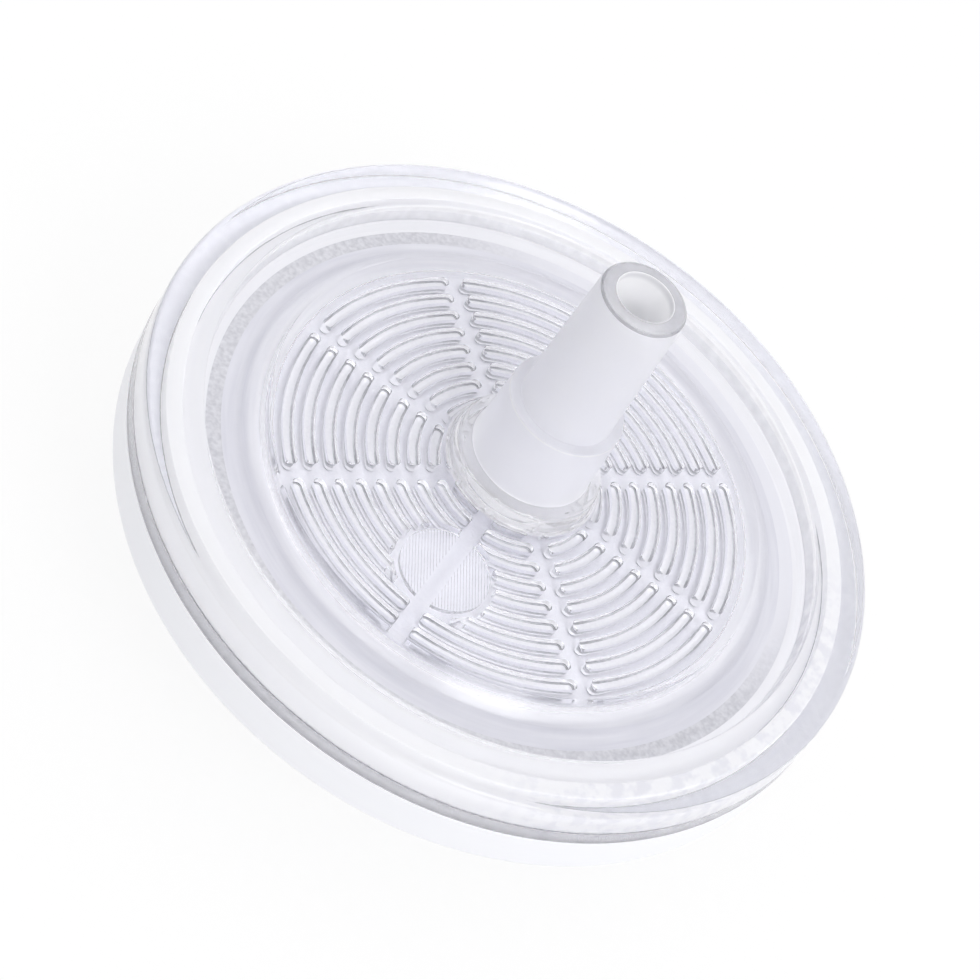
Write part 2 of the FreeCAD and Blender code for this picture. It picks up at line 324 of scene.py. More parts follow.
def outlet_body():
    """Rim, moat, plate and stem, turned in one."""
    return turned("outlet_housing_moulding", [
        (OUTLET_BORE_RADIUS, CHAMBER_ROOF_Z, SMALL_ROUND),
        (CHAMBER_RADIUS, CHAMBER_ROOF_Z, 2 * SMALL_ROUND),
        (CHAMBER_RADIUS, CLAMP_Z, 0),
        (MEMBRANE_RADIUS - MEMBRANE_MARGIN, CLAMP_Z, 0),
        (SEAT_RADIUS + MEMBRANE_MARGIN, CLAMP_Z, 0),
        (GROOVE_INNER_RADIUS, CLAMP_Z, SMALL_ROUND),
        (GROOVE_INNER_RADIUS, GROOVE_TOP_Z, SMALL_ROUND),
        (GROOVE_OUTER_RADIUS, GROOVE_TOP_Z, SMALL_ROUND),
        (GROOVE_OUTER_RADIUS, SEAM_Z, SMALL_ROUND),
        (SEAM_RADIUS, SEAM_Z, SMALL_ROUND),
        (RIM_TOP_RADIUS, RIM_TOP_Z, EDGE_ROUND),
        (MOAT_OUTER_RADIUS, RIM_TOP_Z, 2 * SMALL_ROUND),
        (MOAT_FLOOR_OUTER_RADIUS, MOAT_FLOOR_Z, 2 * SMALL_ROUND),
        (MOAT_INNER_RADIUS, MOAT_FLOOR_Z, SMALL_ROUND),
        (PLATE_RADIUS, PLATE_TOP_Z, SMALL_ROUND),
        (HUB_RADIUS, PLATE_TOP_Z, HUB_FOOT_ROUND),
        (HUB_RADIUS, HUB_TOP_Z, HUB_ROUND),
        (COLLAR_RADIUS, HUB_TOP_Z, 2 * SMALL_ROUND),
        (COLLAR_TOP_RADIUS, SHOULDER_Z, SMALL_ROUND),
        (LUER_ROOT_RADIUS, SHOULDER_Z, SMALL_ROUND),
        (LUER_TIP_RADIUS, TIP_Z, LUER_TIP_ROUND),
        (OUTLET_BORE_RADIUS, TIP_Z, SMALL_ROUND),
    ])


def ridge(radius):
    """One ridge of a ring, with round ends and a softened crest."""
    half_width = RIDGE_WIDTH / 2
    root = CHAMBER_ROOF_Z + RIDGE_ROOT
    piece = drawn_outline("ridge", [
        (radius - half_width, CLAMP_Z, 0),
        (radius + half_width, CLAMP_Z, 0),
        (radius + half_width, root, 0),
        (radius - half_width, root, 0),
    ])
    start = math.asin(CHANNEL_WIDTH / 2 / radius)
    sweep = TURN / CHANNELS - 2 * start
    steps = max(5, int(sweep * radius / RIDGE_STEP))
    spun(steps, sweep)
    bpy.ops.mesh.normals_make_consistent(inside=False)

    def at_end(point):
        angle = abs(math.atan2(point.y, point.x))
        return angle < SAME_ANGLE or abs(angle - sweep) < SAME_ANGLE

    def upright_end(a, b):
        return at_end(a) and at_end(b) and abs(a.z - b.z) > CLOSE_BY

    mark(piece, "EDGE", upright_end)
    bpy.ops.mesh.bevel(offset=half_width * RIDGE_END_ROUND, segments=4, affect="EDGES")
    bpy.ops.mesh.select_mode(type="EDGE")
    bpy.ops.mesh.select_all(action="DESELECT")
    bpy.ops.mesh.edges_select_sharp(sharpness=SHARP_ANGLE)
    bpy.ops.object.mode_set(mode="OBJECT")
    for edge in piece.data.edges:
        if any(abs(piece.data.vertices[i].co.z - CLAMP_Z) > SAME_PLACE for i in edge.vertices):
            edge.select = False
    bpy.ops.object.mode_set(mode="EDIT")
    bpy.ops.mesh.bevel(offset=CREST_ROUND, segments=2, affect="EDGES")
    bpy.ops.object.mode_set(mode="OBJECT")
    middle = Vector((0, 0, 0))
    for vertex in piece.data.vertices:
        middle += vertex.co
    turn_back = TURN / CHANNELS / 2 - math.atan2(middle.y, middle.x)
    piece.data.transform(Matrix.Rotation(turn_back, 4, "Z"))
    return piece


def pad_place():
    """Middle of the witness pad, seen from above."""
    turn = PAD_CHANNEL * TURN / CHANNELS
    return Vector((PAD_DISTANCE * math.cos(turn), PAD_DISTANCE * math.sin(turn), 0))


def membrane_support():
    """All ridges, with a round clearing where the witness pad stands."""
    bars = []
    near_pad = []
    for ring in range(RIDGE_RINGS):
        first = ridge(OUTER_RING_RADIUS - ring * RIDGE_PITCH)
        for sector in range(CHANNELS):
            bar = copy_turned(first, sector * TURN / CHANNELS)
            if sector in (PAD_CHANNEL - 1, PAD_CHANNEL):
                near_pad.append(bar)
            else:
                bars.append(bar)
        bpy.data.objects.remove(first)
    held = join(near_pad)
    free_hands()
    place = pad_place()
    bpy.ops.mesh.primitive_cylinder_add(vertices=PAD_CORNERS, radius=PAD_RADIUS + PAD_MARGIN,
                                        depth=CUTTER_DEPTH, location=(place.x, place.y, CHAMBER_ROOF_Z))
    clearing = bpy.context.object
    bpy.ops.object.transform_apply(location=True)
    held = carve(held, clearing, "DIFFERENCE")
    return join([held] + bars)


def witness_pad():
    """Round pad, with the channel cut on across it."""
    free_hands()
    place = pad_place()
    depth = PAD_HEIGHT + RIDGE_ROOT
    middle = (place.x, place.y, CHAMBER_ROOF_Z - PAD_HEIGHT + depth / 2)
    bpy.ops.mesh.primitive_cylinder_add(vertices=PAD_CORNERS, radius=PAD_RADIUS, depth=depth,
                                        location=middle)
    pad = bpy.context.object
    bpy.ops.object.transform_apply(location=True)
    free_hands()
    bpy.ops.mesh.primitive_cube_add(size=1, location=(0, -PAD_DISTANCE, CHAMBER_ROOF_Z - PAD_HEIGHT))
    slot = bpy.context.object
    slot.scale = (CHANNEL_WIDTH, 3 * PAD_RADIUS, 2 * PAD_HEIGHT)
    bpy.ops.object.transform_apply(location=True, scale=True)
    return carve(pad, slot, "DIFFERENCE")


def outlet_housing():
    """The clear upper moulding in one piece."""
    body = carve(outlet_body(), membrane_support(), "UNION")
    return carve(body, witness_pad(), "UNION")


# ---- inlet housing ----

def inlet_body():
    """Rim, tongue, seat, chamber and port, turned in one."""
    return turned("inlet_housing_moulding", [
        (SOCKET_MOUTH_RADIUS, FOOT_Z, SOCKET_ROUND),
        (INLET_HUB_RADIUS, FOOT_Z, SMALL_ROUND),
        (INLET_HUB_RADIUS, UNDERSIDE_Z, INLET_HUB_ROOT_ROUND),
        (INLET_LAND_RADIUS - DISH_SLOPE_WIDTH, UNDERSIDE_Z, 2 * SMALL_ROUND),
        (INLET_LAND_RADIUS, RIM_BOTTOM_Z, 2 * SMALL_ROUND),
        (SEAM_RADIUS, RIM_BOTTOM_Z, EDGE_ROUND),
        (SEAM_RADIUS, SEAM_Z - TOUCH_GAP, SMALL_ROUND),
        (TONGUE_OUTER_RADIUS, SEAM_Z - TOUCH_GAP, SMALL_ROUND),
        (TONGUE_OUTER_RADIUS, TONGUE_TOP_Z, SMALL_ROUND),
        (TONGUE_INNER_RADIUS, TONGUE_TOP_Z, SMALL_ROUND),
        (TONGUE_INNER_RADIUS, SEAM_Z, SMALL_ROUND),
        (SEAT_RADIUS, SEAM_Z, SMALL_ROUND),
        (SEAT_RADIUS, MEMBRANE_SEAT_Z, SMALL_ROUND),
        (CHAMBER_RADIUS, MEMBRANE_SEAT_Z, SMALL_ROUND),
        (CHAMBER_RADIUS, CHAMBER_FLOOR_Z, SMALL_ROUND),
        (INLET_BORE_RADIUS, CHAMBER_FLOOR_Z, SMALL_ROUND),
        (INLET_BORE_RADIUS, FOOT_Z + SOCKET_DEPTH, SMALL_ROUND),
        (SOCKET_FLOOR_RADIUS, FOOT_Z + SOCKET_DEPTH, SMALL_ROUND),
    ])


def chamber_rib():
    """One straight rib on the floor of the inlet chamber, with softened top edges."""
    start = INLET_BORE_RADIUS + RIB_BORE_GAP
    end = CHAMBER_RADIUS - RIB_WALL_GAP
    top = CHAMBER_FLOOR_Z + RIB_HEIGHT
    height = RIB_HEIGHT + RIDGE_ROOT
    free_hands()
    bpy.ops.mesh.primitive_cube_add(size=1, location=((start + end) / 2, 0, top - height / 2))
    rib = bpy.context.object
    rib.name = "chamber rib"
    rib.scale = (end - start, RIB_WIDTH, height)
    bpy.ops.object.transform_apply(location=True, scale=True)
    bpy.ops.object.mode_set(mode="EDIT")
    mark(rib, "EDGE", lambda a, b: abs(a.z - top) < SAME_PLACE and abs(b.z - top) < SAME_PLACE)
    bpy.ops.mesh.bevel(offset=SMALL_ROUND, segments=3, affect="EDGES")
    bpy.ops.object.mode_set(mode="OBJECT")
    return rib


def lug():
    """One lock lug on the rim of the inlet port."""
    root = INLET_HUB_RADIUS - LUG_SUNK
    piece = drawn_outline("lug", [
        (root, FOOT_Z, 0),
        (LUG_RADIUS, FOOT_Z, SMALL_ROUND),
        (LUG_RADIUS, FOOT_Z + LUG_HEIGHT, LUG_ROUND),
        (root, FOOT_Z + LUG_HEIGHT, 0),
    ])
    spun(LUG_STEPS, LUG_ANGLE)
    bpy.ops.mesh.normals_make_consistent(inside=False)
    bpy.ops.object.mode_set(mode="OBJECT")
    return piece


def inlet_housing():
    """The milky lower moulding in one piece."""
    body = inlet_body()
    for first, count, start in ((chamber_rib(), RIBS, 0.0), (lug(), LUGS, -LUG_ANGLE / 2)):
        for i in range(count):
            body = carve(body, copy_turned(first, i * TURN / count + start), "UNION")
        bpy.data.objects.remove(first)
    return body


def finish_smooth(piece):
    """Smooth shading that keeps flat faces flat beside their roundings."""
    take(piece)
    bpy.ops.object.shade_smooth_by_angle(angle=SMOOTH_ANGLE)
    modifier = piece.modifiers.new("faces first", "WEIGHTED_NORMAL")
    modifier.mode = "FACE_AREA"
    modifier.keep_sharp = True
    bpy.ops.object.modifier_apply(modifier=modifier.name)


# ---- node helpers ----

def add_node(tree, kind, **values):
    """Node with its sockets set by name, underscores standing for spaces."""
    node = tree.nodes.new(kind)
    for name, value in values.items():
        node.inputs[name.replace("_", " ")].default_value = value
    return node


def plug(tree, source, socket):
    """Set a socket to a number, or join it to another node's output."""
    if isinstance(source, (int, float)):
        socket.default_value = source
    else:
        tree.links.new(source, socket)


def work(tree, operation, first, second=0.0):
    """One step of arithmetic on numbers or outputs."""
    node = tree.nodes.new("ShaderNodeMath")
    node.operation = operation
    plug(tree, first, node.inputs[0])
    plug(tree, second, node.inputs[1])
    return node.outputs[0]


def times(tree, *factors):
    """Product of numbers or outputs."""
    result = factors[0]
    for factor in factors[1:]:
        result = work(tree, "MULTIPLY", result, factor)
    return result


def plus(tree, *terms):
    """Sum of numbers or outputs."""
    result = terms[0]
    for term in terms[1:]:
        result = work(tree, "ADD", result, term)
    return result


def fade(tree, value, start, end, low=0.0, high=1.0):
    """Smooth change from low at start to high at end."""
    node = tree.nodes.new("ShaderNodeMapRange")
    node.interpolation_type = "SMOOTHSTEP"
    plug(tree, value, node.inputs["Value"])
    for name, number in (("From Min", start), ("From Max", end), ("To Min", low), ("To Max", high)):
        node.inputs[name].default_value = number
    return node.outputs[0]


def places(tree):
    """Place on the piece, its three numbers and its distance from the axis."""
    place = tree.nodes.new("ShaderNodeTexCoord").outputs["Object"]
    split = tree.nodes.new("ShaderNodeSeparateXYZ")
    tree.links.new(place, split.inputs[0])
    x, y, z = split.outputs
    radius = work(tree, "SQRT", plus(tree, times(tree, x, x), times(tree, y, y)))
    return place, x, y, z, radius


def speckle(tree, place, size, detail=2.0, rough=0.5):
    """Even noise with grains of the given size."""
    node = add_node(tree, "ShaderNodeTexNoise", Scale=1 / size, Detail=detail, Roughness=rough)
    tree.links.new(place, node.inputs["Vector"])
    return node.outputs[0]


def turning_marks(tree, x, y, z, radius, pitch, length):
    """Noise drawn out round the axis, as a turned mould leaves it."""
    vector = tree.nodes.new("ShaderNodeCombineXYZ")
    across = times(tree, plus(tree, radius, z), 1 / pitch)
    plug(tree, across, vector.inputs[0])
    plug(tree, times(tree, x, 1 / length), vector.inputs[1])
    plug(tree, times(tree, y, 1 / length), vector.inputs[2])
    node = add_node(tree, "ShaderNodeTexNoise", Scale=1.0, Detail=2.0, Roughness=0.6)
    tree.links.new(vector.outputs[0], node.inputs["Vector"])
    return node.outputs[0]


def blend(tree, amount, first, second):
    """Colour between two, by an amount from nothing to one."""
    node = tree.nodes.new("ShaderNodeMix")
    node.data_type = "RGBA"
    plug(tree, amount, node.inputs["Factor"])
    for socket, colour in ((node.inputs[6], first), (node.inputs[7], second)):
        if isinstance(colour, tuple):
            socket.default_value = (*colour, 1)
        else:
            tree.links.new(colour, socket)
    return node.outputs[2]


def relief(tree, height, depth):
    """Bump of the given depth from a height between nothing and one."""
    node = tree.nodes.new("ShaderNodeBump")
    node.inputs["Distance"].default_value = depth
    plug(tree, height, node.inputs["Height"])
    return node.outputs[0]


def plastic(name, transmission, ior=POLYPROPYLENE_IOR):
    """Plastic with its constant sockets set, ready for colour, roughness and relief."""
    material = bpy.data.materials.new(name)
    material.use_nodes = True
    tree = material.node_tree
    shader = tree.nodes["Principled BSDF"]
    shader.inputs["IOR"].default_value = ior
    shader.inputs["Transmission Weight"].default_value = transmission
    return material, tree, shader


def towards(tree, x, y, radius, azimuth):
    """How much a place lies on the side of the azimuth, from 1 to -1."""
    along = plus(tree, times(tree, x, math.cos(azimuth)), times(tree, y, math.sin(azimuth)))
    return work(tree, "DIVIDE", along, radius)


def level(tree, z, height, width):
    """One on a thin band at a height, nothing beyond the width."""
    return fade(tree, work(tree, "ABSOLUTE", plus(tree, z, -height)), width, width - 0.02 * MM)


# ---- finishes ----

def clear_inside():
    """Clear polypropylene on the inner faces, where light passes many times."""
    material, tree, shader = plastic("clear_inside", 1.0)
    place, x, y, z, radius = places(tree)
    cloud = speckle(tree, place, 0.8 * MM, 0.0)
    plug(tree, times(tree, cloud, 0.06), shader.inputs["Roughness"])
    shader.inputs["Base Color"].default_value = (*CLEAR_COLOUR, 1)
    return material


def crest_shade_line():
    """Painted shade: a fine dark line where the round of a ridge leaves the membrane, darkest by the
    channels.
    """
    material, tree, shader = plastic("crest_shade_line", 0.0)
    place, x, y, z, radius = places(tree)
    mottle = speckle(tree, place, 0.2 * MM, 1.0)
    plug(tree, plus(tree, 0.45, times(tree, mottle, 0.1)), shader.inputs["Roughness"])
    # the line is painted shade, darkest at the ridge ends beside the channels
    turn = times(tree, work(tree, "ARCTAN2", y, x), CHANNELS)
    near_end = fade(tree, work(tree, "COSINE", turn), -0.6, 0.8)
    middle = blend(tree, mottle, (0.52, 0.52, 0.55), (0.84, 0.84, 0.88))
    end = blend(tree, mottle, (0.28, 0.28, 0.31), (0.64, 0.64, 0.68))
    plug(tree, blend(tree, near_end, middle, end), shader.inputs["Base Color"])
    return material


def moat_wall():
    """Steep outer wall of the moat, clear with greyer clouds."""
    material, tree, shader = plastic("moat_wall", 1.0)
    place, x, y, z, radius = places(tree)
    cloud = speckle(tree, place, 0.5 * MM, 1.0)
    plug(tree, plus(tree, 0.02, times(tree, cloud, 0.06)), shader.inputs["Roughness"])
    plug(tree, blend(tree, cloud, (0.66, 0.66, 0.68), CLEAR_COLOUR), shader.inputs["Base Color"])
    return material


def clamp_edge():
    """Rough grey ring where the membrane ends, turning white towards one side."""
    material, tree, shader = plastic("clamp_edge", 0.0)
    place, x, y, z, radius = places(tree)
    mottle = speckle(tree, place, 0.2 * MM, 1.0)
    whitening = fade(tree, towards(tree, x, y, radius, PALE_SIDE), 0.2, 0.75)
    plug(tree, relief(tree, mottle, 0.004 * MM), shader.inputs["Normal"])
    plug(tree, plus(tree, 0.55, times(tree, mottle, 0.1)), shader.inputs["Roughness"])
    grey = blend(tree, mottle, (0.55, 0.55, 0.58), (0.93, 0.93, 0.95))
    plug(tree, blend(tree, whitening, grey, (0.9, 0.9, 0.93)), shader.inputs["Base Color"])
    return material


def clear_top():
    """Clear polypropylene on the open faces, with turning marks that are coarser on the slope."""
    material, tree, shader = plastic("clear_top", 1.0)
    place, x, y, z, radius = places(tree)
    marks = turning_marks(tree, x, y, z, radius, 0.16 * MM, 3 * MM)
    slope = times(tree, fade(tree, radius, PLATE_RADIUS, PLATE_RADIUS + 0.15 * MM),
                  fade(tree, radius, MOAT_INNER_RADIUS + 0.15 * MM, MOAT_INNER_RADIUS))
    height = times(tree, marks, plus(tree, 1.0, times(tree, slope, 2.0)))
    rough = plus(tree, 0.02, times(tree, marks, 0.1), times(tree, slope, 0.12))
    plug(tree, relief(tree, height, 0.002 * MM), shader.inputs["Normal"])
    plug(tree, rough, shader.inputs["Roughness"])
    plug(tree, blend(tree, marks, (0.93, 0.93, 0.955), (1.0, 1.0, 1.0)), shader.inputs["Base Color"])
    return material


def clear_wall():
    """Outer wall of the clear housing, with a dark grainy band of painted shade just over the seam and a
    painted shadow line right at it.
    """
    material, tree, shader = plastic("clear_wall", 1.0)
    place, x, y, z, radius = places(tree)
    mottle = speckle(tree, place, 0.25 * MM, 1.0)
    seam = fade(tree, plus(tree, z, times(tree, mottle, -0.4 * MM)), SEAM_Z + 0.7 * MM, SEAM_Z + 0.5 * MM)
    seam_shadow_line = fade(tree, z, SEAM_Z + 0.5 * MM, SEAM_Z + 0.1 * MM)
    plug(tree, plus(tree, 0.03, times(tree, seam, 0.22)), shader.inputs["Roughness"])
    # painted shade over the seam, and a darker painted shadow line at the seam itself
    tinted = blend(tree, seam, CLEAR_COLOUR, (0.5, 0.5, 0.53))
    tinted = blend(tree, seam_shadow_line, tinted, (0.25, 0.25, 0.27))
    plug(tree, tinted, shader.inputs["Base Color"])
    return material


def weld_grain():
    """Clear polypropylene melted and grainy round the joint, coarse and crystalline on one side."""
    material, tree, shader = plastic("weld_grain", 1.0)
    place, x, y, z, radius = places(tree)
    mottle = speckle(tree, place, 0.4 * MM, 1.0)
    coarse = fade(tree, towards(tree, x, y, radius, WELD_SIDE), 0.9, 0.97)
    height = times(tree, mottle, plus(tree, 0.4, coarse))
    plug(tree, relief(tree, height, 0.012 * MM), shader.inputs["Normal"])
    plug(tree, plus(tree, 0.05, times(tree, mottle, 0.2)), shader.inputs["Roughness"])
    plug(tree, blend(tree, mottle, (0.8, 0.8, 0.83), (0.97, 0.97, 0.98)), shader.inputs["Base Color"])
    return material


def hatched_pad():
    """Face of the witness pad, cut with fine straight lines."""
    material, tree, shader = plastic("hatched_pad", 1.0)
    place, x, y, z, radius = places(tree)
    across = plus(tree, times(tree, x, math.cos(HATCH_TURN)), times(tree, y, math.sin(HATCH_TURN)))
    lines = work(tree, "SINE", times(tree, across, TURN / HATCH_PITCH))
    plug(tree, relief(tree, lines, 0.009 * MM), shader.inputs["Normal"])
    plug(tree, plus(tree, 0.08, times(tree, lines, 0.05)), shader.inputs["Roughness"])
    shader.inputs["Base Color"].default_value = (0.945, 0.945, 0.967, 1)
    return material


def frosted_stem():
    """Milky stem, with painted shade on its shoulder and a painted highlight line round the shoulder's
    edge.
    """
    material, tree, shader = plastic("frosted_stem", 0.5)
    place, x, y, z, radius = places(tree)
    cloud = speckle(tree, place, 1.2 * MM, 0.0)
    grain = speckle(tree, place, 0.35 * MM, 1.0)
    plug(tree, relief(tree, grain, 0.002 * MM), shader.inputs["Normal"])
    plug(tree, plus(tree, 0.29, times(tree, cloud, 0.1)), shader.inputs["Roughness"])
    milky = blend(tree, cloud, (0.93, 0.93, 0.985), (0.955, 0.955, 0.995))
    # painted shade on the shoulder face
    milky = blend(tree, level(tree, z, SHOULDER_Z, 0.04 * MM), milky, (0.84, 0.84, 0.89))
    # painted highlight: a white line round the edge of the shoulder
    shoulder_highlight = level(tree, z, SHOULDER_Z - 0.08 * MM, 0.05 * MM)
    plug(tree, blend(tree, shoulder_highlight, milky, (1.0, 1.0, 1.0)), shader.inputs["Base Color"])
    return material


def ringed_foot():
    """Clear foot of the stem, ringed with coarse turning marks."""
    material, tree, shader = plastic("ringed_foot", 0.75)
    place, x, y, z, radius = places(tree)
    marks = turning_marks(tree, x, y, z, radius, 0.3 * MM, 3 * MM)
    plug(tree, relief(tree, marks, 0.008 * MM), shader.inputs["Normal"])
    plug(tree, plus(tree, 0.04, times(tree, marks, 0.16)), shader.inputs["Roughness"])
    plug(tree, blend(tree, marks, (0.98, 0.98, 0.99), (1.0, 1.0, 1.0)), shader.inputs["Base Color"])
    return material


def bore_wall():
    """White wall of the bore, greyer just inside the mouth."""
    material, tree, shader = plastic("bore_wall", 0.0)
    place, x, y, z, radius = places(tree)
    cloud = speckle(tree, place, 0.6 * MM, 1.0)
    plug(tree, plus(tree, 0.45, times(tree, cloud, 0.1)), shader.inputs["Roughness"])
    white = blend(tree, cloud, (0.93, 0.93, 0.95), (0.975, 0.975, 0.99))
    mouth = fade(tree, z, TIP_Z - 0.45 * MM, TIP_Z - 0.15 * MM)
    plug(tree, blend(tree, mouth, white, (0.76, 0.76, 0.79)), shader.inputs["Base Color"])
    return material


def tip_face():
    """End of the stem, clearer and greyer than its side, with a painted shade line round its outer edge.
    """
    material, tree, shader = plastic("tip_face", 0.7)
    place, x, y, z, radius = places(tree)
    cloud = speckle(tree, place, 0.3 * MM, 1.0)
    # the dark edge is painted shade
    edge = fade(tree, radius, LUER_TIP_RADIUS - 0.14 * MM, LUER_TIP_RADIUS - 0.08 * MM)
    rim = times(tree, edge, 0.7)
    grey = blend(tree, cloud, (0.8, 0.8, 0.82), (0.93, 0.93, 0.95))
    plug(tree, relief(tree, cloud, 0.002 * MM), shader.inputs["Normal"])
    plug(tree, plus(tree, 0.1, times(tree, cloud, 0.12)), shader.inputs["Roughness"])
    plug(tree, blend(tree, rim, grey, (0.42, 0.42, 0.44)), shader.inputs["Base Color"])
    return material


def milky_housing():
    """Milky white polypropylene of the inlet half."""
    material, tree, shader = plastic("milky_polypropylene", 0.1)
    place, x, y, z, radius = places(tree)
    marks = turning_marks(tree, x, y, z, radius, 0.2 * MM, 3 * MM)
    plug(tree, relief(tree, marks, 0.0015 * MM), shader.inputs["Normal"])
    plug(tree, plus(tree, 0.3, times(tree, marks, 0.1)), shader.inputs["Roughness"])
    plug(tree, blend(tree, marks, (0.93, 0.935, 0.985), (0.955, 0.96, 0.995)), shader.inputs["Base Color"])
    return material


def pressed_contact():
    """White plastic pressed on the membrane, ringed with marks where it clamps the edge."""
    material, tree, shader = plastic("pressed_contact", 0.0)
    place, x, y, z, radius = places(tree)
    cloud = speckle(tree, place, 0.14 * MM, 1.0)
    rings = turning_marks(tree, x, y, z, radius, 0.4 * MM, 6 * MM)
    plug(tree, relief(tree, cloud, 0.002 * MM), shader.inputs["Normal"])
    plug(tree, plus(tree, 0.55, times(tree, cloud, 0.1)), shader.inputs["Roughness"])
    on_ridge = fade(tree, radius, CHAMBER_RADIUS, CHAMBER_RADIUS - 0.1 * MM)
    crest = blend(tree, cloud, (0.84, 0.84, 0.885), (0.96, 0.96, 0.99))
    clamp = blend(tree, rings, (0.7, 0.7, 0.76), (0.96, 0.96, 0.985))
    plug(tree, blend(tree, on_ridge, clamp, crest), shader.inputs["Base Color"])
    return material


def welded_white():
    """Where the clear housing is melted to the milky one, with grey crystals on one side."""
    material, tree, shader = plastic("welded_white", 0.0)
    place, x, y, z, radius = places(tree)
    cloud = speckle(tree, place, 1.5 * MM, 1.0)
    crystals = fade(tree, speckle(tree, place, 0.6 * MM, 2.0), 0.4, 0.65)
    outer = fade(tree, radius, GROOVE_INNER_RADIUS - 0.2 * MM, GROOVE_INNER_RADIUS)
    grey = times(tree, crystals, outer, fade(tree, towards(tree, x, y, radius, WELD_SIDE), 0.6, 0.9))
    plug(tree, relief(tree, cloud, 0.004 * MM), shader.inputs["Normal"])
    plug(tree, plus(tree, 0.55, times(tree, cloud, 0.1)), shader.inputs["Roughness"])
    white = blend(tree, times(tree, cloud, 0.25), (0.99, 0.99, 1.0), (0.93, 0.93, 0.965))
    plug(tree, blend(tree, grey, white, (0.87, 0.87, 0.91)), shader.inputs["Base Color"])
    return material


def membrane_fleece():
    """White filter membrane with a fine open texture."""
    material, tree, shader = plastic("membrane_white", 0.0, MEMBRANE_IOR)
    place, x, y, z, radius = places(tree)
    pores = speckle(tree, place, 0.08 * MM, 1.0)
    plug(tree, relief(tree, pores, 0.01 * MM), shader.inputs["Normal"])
    plug(tree, plus(tree, 0.8, times(tree, pores, 0.1)), shader.inputs["Roughness"])
    plug(tree, blend(tree, pores, (0.79, 0.79, 0.845), (0.95, 0.95, 0.985)), shader.inputs["Base Color"])
    return material


def dress(piece, finishes, choose):
    """Give a piece its finishes, each face the one that its place calls for."""
    piece.data.materials.clear()
    for finish in finishes:
        piece.data.materials.append(finish)
    for face in piece.data.polygons:
        face.material_index = choose(face.center, face.normal, face.center.xy.length)


# Slots of the outlet housing's finishes, in the order in which they are given to it.
(INSIDE, TOP, WALL, GRAIN, PAD, STEM, PRESSED, WELDED,
 CREST_SHADE, CLAMP_EDGE, MOAT_WALL, BORE, TIP, HUB) = range(14)


def outlet_finish(middle, normal, radius):
    """Which finish a face of the outlet housing has."""
    if radius < OUTLET_BORE_RADIUS + SMALL_ROUND and middle.z > CHAMBER_ROOF_Z + SMALL_ROUND:
        return BORE
    if middle.z > TIP_Z - TIP_FACE_DEPTH:
        return TIP
    if middle.z > HUB_TOP_Z + 0.05 * MM:
        return STEM
    if middle.z > PLATE_TOP_Z + 0.02 * MM and radius < HUB_RADIUS + HUB_FOOT_ROUND:
        return HUB
    on_rim = radius > SEAM_RADIUS - WALL_BAND and middle.z < RIM_TOP_Z - EDGE_ROUND
    if on_rim and abs(normal.z) < UPRIGHT:
        return WALL
    if abs(middle.z - CLAMP_Z) < SAME_LEVEL / 2:
        if radius < MEMBRANE_RADIUS - MEMBRANE_MARGIN:
            return PRESSED
        return CLAMP_EDGE if radius < SEAT_RADIUS + MEMBRANE_MARGIN else WELDED
    over_moat = middle.z > max(MOAT_FLOOR_Z + SMALL_ROUND, CHAMBER_ROOF_Z + CLOSE_BY)
    on_slope = over_moat and PLATE_RADIUS - CLOSE_BY < radius < MOAT_INNER_RADIUS
    if on_slope or middle.z > PLATE_TOP_Z - SAME_LEVEL:
        return TOP
    in_groove = GROOVE_INNER_RADIUS - SAME_LEVEL < radius < GROOVE_OUTER_RADIUS + SAME_LEVEL
    if in_groove and SEAM_Z + SMALL_ROUND < middle.z < GROOVE_TOP_Z + SAME_LEVEL:
        return WELDED
    if middle.z < SEAM_Z + SMALL_ROUND:
        return GRAIN
    # the roundings of the ridge crests get the painted shade line
    if CLAMP_Z < middle.z < CLAMP_Z + CREST_ROUND and radius < CHAMBER_RADIUS - CLOSE_BY:
        return CREST_SHADE
    if MOAT_FLOOR_OUTER_RADIUS < radius < MOAT_OUTER_RADIUS and MOAT_FLOOR_Z < middle.z:
        return MOAT_WALL
    pad = pad_place()
    on_pad = (middle.xy - pad.xy).length < PAD_RADIUS
    if on_pad and abs(middle.z - CHAMBER_ROOF_Z + PAD_HEIGHT) < SAME_LEVEL:
        return PAD
    return INSIDE


# ---- the pieces ----
outlet = outlet_housing()
finish_smooth(outlet)
dress(outlet, [clear_inside(), clear_top(), clear_wall(), weld_grain(), hatched_pad(), frosted_stem(),
               pressed_contact(), welded_white(), crest_shade_line(), clamp_edge(), moat_wall(),
               bore_wall(), tip_face(), ringed_foot()], outlet_finish)
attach(outlet, "root")
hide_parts("outlet_housing")

inlet = inlet_housing()
finish_smooth(inlet)
inlet.data.materials.clear()
inlet.data.materials.append(milky_housing())
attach(inlet, "root")
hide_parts("inlet_housing")

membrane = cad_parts["membrane"]
membrane.data.materials.clear()
membrane.data.materials.append(membrane_fleece())


# ---- floor, light and camera ----

def seen_directly(tree):
    """One for rays from the camera, in a mirror or through clear plastic."""
    paths = tree.nodes.new("ShaderNodeLightPath")
    looked_at = work(tree, "MAXIMUM", paths.outputs["Is Camera Ray"], paths.outputs["Is Glossy Ray"])
    return work(tree, "MAXIMUM", looked_at, paths.outputs["Is Transmission Ray"])


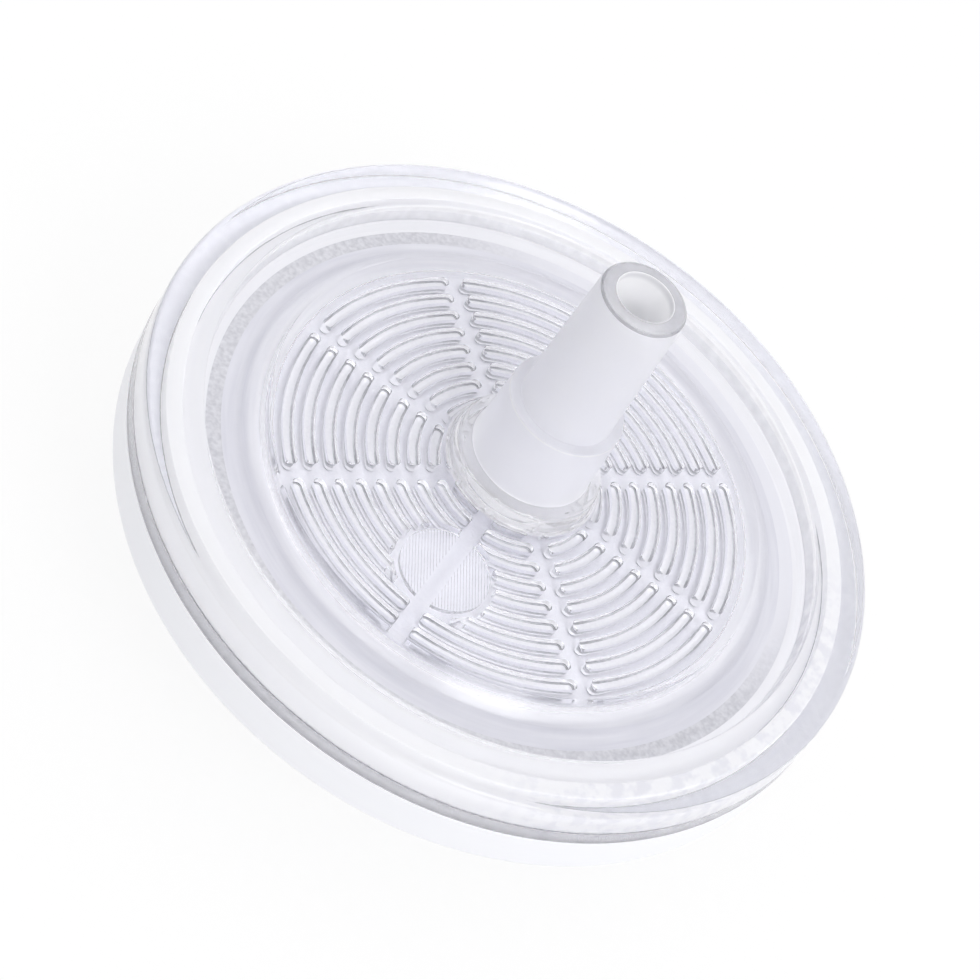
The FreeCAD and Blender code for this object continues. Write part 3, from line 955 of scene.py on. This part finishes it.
def pale_floor():
    """Matt floor that looks nearly white and keeps a faint shadow."""
    material = bpy.data.materials.new("pale_floor")
    material.use_nodes = True
    tree = material.node_tree
    shader = tree.nodes["Principled BSDF"]
    shader.inputs["Base Color"].default_value = (0.9, 0.9, 0.9, 1)
    shader.inputs["Roughness"].default_value = 1
    shader.inputs["Specular IOR Level"].default_value = 0
    glow = add_node(tree, "ShaderNodeEmission", Color=(1, 1, 1, 1), Strength=1.0)
    mix = tree.nodes.new("ShaderNodeMixShader")
    plug(tree, times(tree, seen_directly(tree), FLOOR_GLOW), mix.inputs[0])
    tree.links.new(shader.outputs[0], mix.inputs[1])
    tree.links.new(glow.outputs[0], mix.inputs[2])
    tree.links.new(mix.outputs[0], tree.nodes["Material Output"].inputs["Surface"])
    return material


def studio_world():
    """Bright ceiling, dim walls and a brighter window side, white where the camera looks past."""
    world = bpy.data.worlds.new("studio")
    world.use_nodes = True
    tree = world.node_tree
    direction = tree.nodes.new("ShaderNodeTexCoord").outputs["Generated"]
    split = tree.nodes.new("ShaderNodeSeparateXYZ")
    tree.links.new(direction, split.inputs[0])
    x, y, z = split.outputs
    to_window = plus(tree, times(tree, x, math.cos(WINDOW_SIDE)), times(tree, y, math.sin(WINDOW_SIDE)))
    wall_light = fade(tree, to_window, 0.3, 0.95, WALL_LIGHT, WINDOW_LIGHT)
    up = fade(tree, z, WALL_LOW, WALL_HIGH)
    sideways = plus(tree, 1.0, times(tree, up, -1.0))
    light = plus(tree, times(tree, up, CEILING_LIGHT), times(tree, sideways, wall_light))
    paths = tree.nodes.new("ShaderNodeLightPath")
    strength = work(tree, "MAXIMUM", light, paths.outputs["Is Camera Ray"])
    background = tree.nodes["Background"]
    background.inputs["Color"].default_value = (1, 1, 1, 1)
    plug(tree, strength, background.inputs["Strength"])
    return world


def softbox(name, azimuth, elevation, distance, width, brightness):
    """Square lamp facing the piece, with its brightness as seen in a mirror."""
    lamp = bpy.data.lights.new(name, "AREA")
    lamp.shape = "RECTANGLE"
    lamp.size = width
    lamp.size_y = width
    lamp.energy = brightness * math.pi * width * width
    holder = bpy.data.objects.new(name, lamp)
    bpy.context.scene.collection.objects.link(holder)
    level_way = Vector((math.cos(azimuth), math.sin(azimuth), 0))
    way = level_way * math.cos(elevation) + Vector((0, 0, math.sin(elevation)))
    holder.location = way * distance
    holder.rotation_euler = way.to_track_quat("Z", "Y").to_euler()


def studio_camera():
    """Camera above the front of the disc, rolled so that the stem leans to the right."""
    camera_data = bpy.data.cameras.new("camera")
    camera_data.sensor_width = SENSOR_WIDTH
    camera_data.lens = LENS
    camera_data.clip_start = 0.005
    camera = bpy.data.objects.new("camera", camera_data)
    bpy.context.scene.collection.objects.link(camera)
    level_way = Vector((math.sin(CAMERA_SWING), math.cos(CAMERA_SWING), 0))
    look = level_way * math.cos(CAMERA_ELEVATION) - Vector((0, 0, math.sin(CAMERA_ELEVATION)))
    camera.location = CAMERA_TARGET - look * CAMERA_DISTANCE
    facing = look.to_track_quat("-Z", "Y").to_matrix()
    camera.rotation_euler = (facing @ Matrix.Rotation(CAMERA_ROLL, 3, "Z")).to_euler()
    return camera


free_hands()
bpy.ops.mesh.primitive_plane_add(size=FLOOR_SIZE, location=(0, 0, FOOT_Z))
floor = bpy.context.object
floor.name = "floor"
floor.data.materials.append(pale_floor())

softbox("key softbox", math.radians(-45), math.radians(44), 0.6, 0.24, 4.5)

scene = bpy.context.scene
scene.world = studio_world()
scene.camera = studio_camera()
scene.view_settings.view_transform = "Standard"

# Clear plastic needs many bounces, and sharp light behind it.
scene.cycles.blur_glossy = 0
scene.cycles.max_bounces = 20
scene.cycles.transmission_bounces = 20
scene.cycles.glossy_bounces = 10
scene.cycles.diffuse_bounces = 6

# With one lamp and a soft world these two only cost time.
scene.cycles.use_light_tree = False
scene.world.cycles.sampling_method = "NONE"
